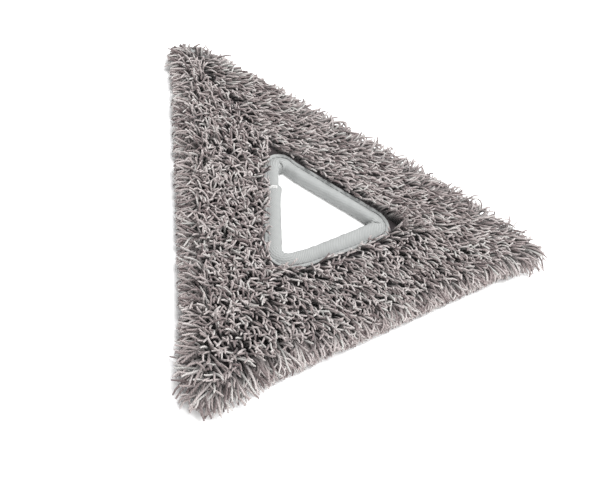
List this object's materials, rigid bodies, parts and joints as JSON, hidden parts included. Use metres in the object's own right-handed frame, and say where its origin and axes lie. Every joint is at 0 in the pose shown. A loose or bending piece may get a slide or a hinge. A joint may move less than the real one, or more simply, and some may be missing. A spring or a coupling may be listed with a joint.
{
  "type": "steam mop pad",
  "caption": "Triangular string-pile microfibre pad for a steam mop head, with a tape-bound triangular steam opening and a brushed loop lining that grips the head's plate.",
  "frame": {"origin": "centre of the triangular steam opening, in the plane of the loop lining that the pad lies on", "axes": "+Z out of the pile, +X along the rear side of the triangle, -Y through the tip opposite the rear side"},
  "size_m": [0.3106, 0.2728, 0.0182],
  "materials": {
    "pile_yarn": "twisted microfibre strands, warm light grey with darker taupe strands among them",
    "ground_knit": "dark taupe warp knit",
    "binding_tape": "neutral grey twill tape",
    "grey_thread": "grey polyester thread",
    "white_thread": "white polyester thread",
    "brushed_loop": "grey brushed loop tricot",
    "felt_wadding": "off-white needled felt"
  },
  "bodies": {
    "root": {"loop_lining": "brushed_loop", "absorbent_wadding": "felt_wadding", "pile_ground_cloth": "ground_knit", "opening_tape": "binding_tape", "opening_needle_thread": "grey_thread", "opening_bobbin_thread": "grey_thread", "lap_bar_tack": "white_thread", "edge_tape": "binding_tape", "edge_needle_thread": "grey_thread", "edge_bobbin_thread": "grey_thread", "pile_rear": "pile_yarn", "pile_left": "pile_yarn", "pile_right": "pile_yarn", "fringe_rear": "pile_yarn", "fringe_left": "pile_yarn", "fringe_right": "pile_yarn"}
  },
  "joints": []
}
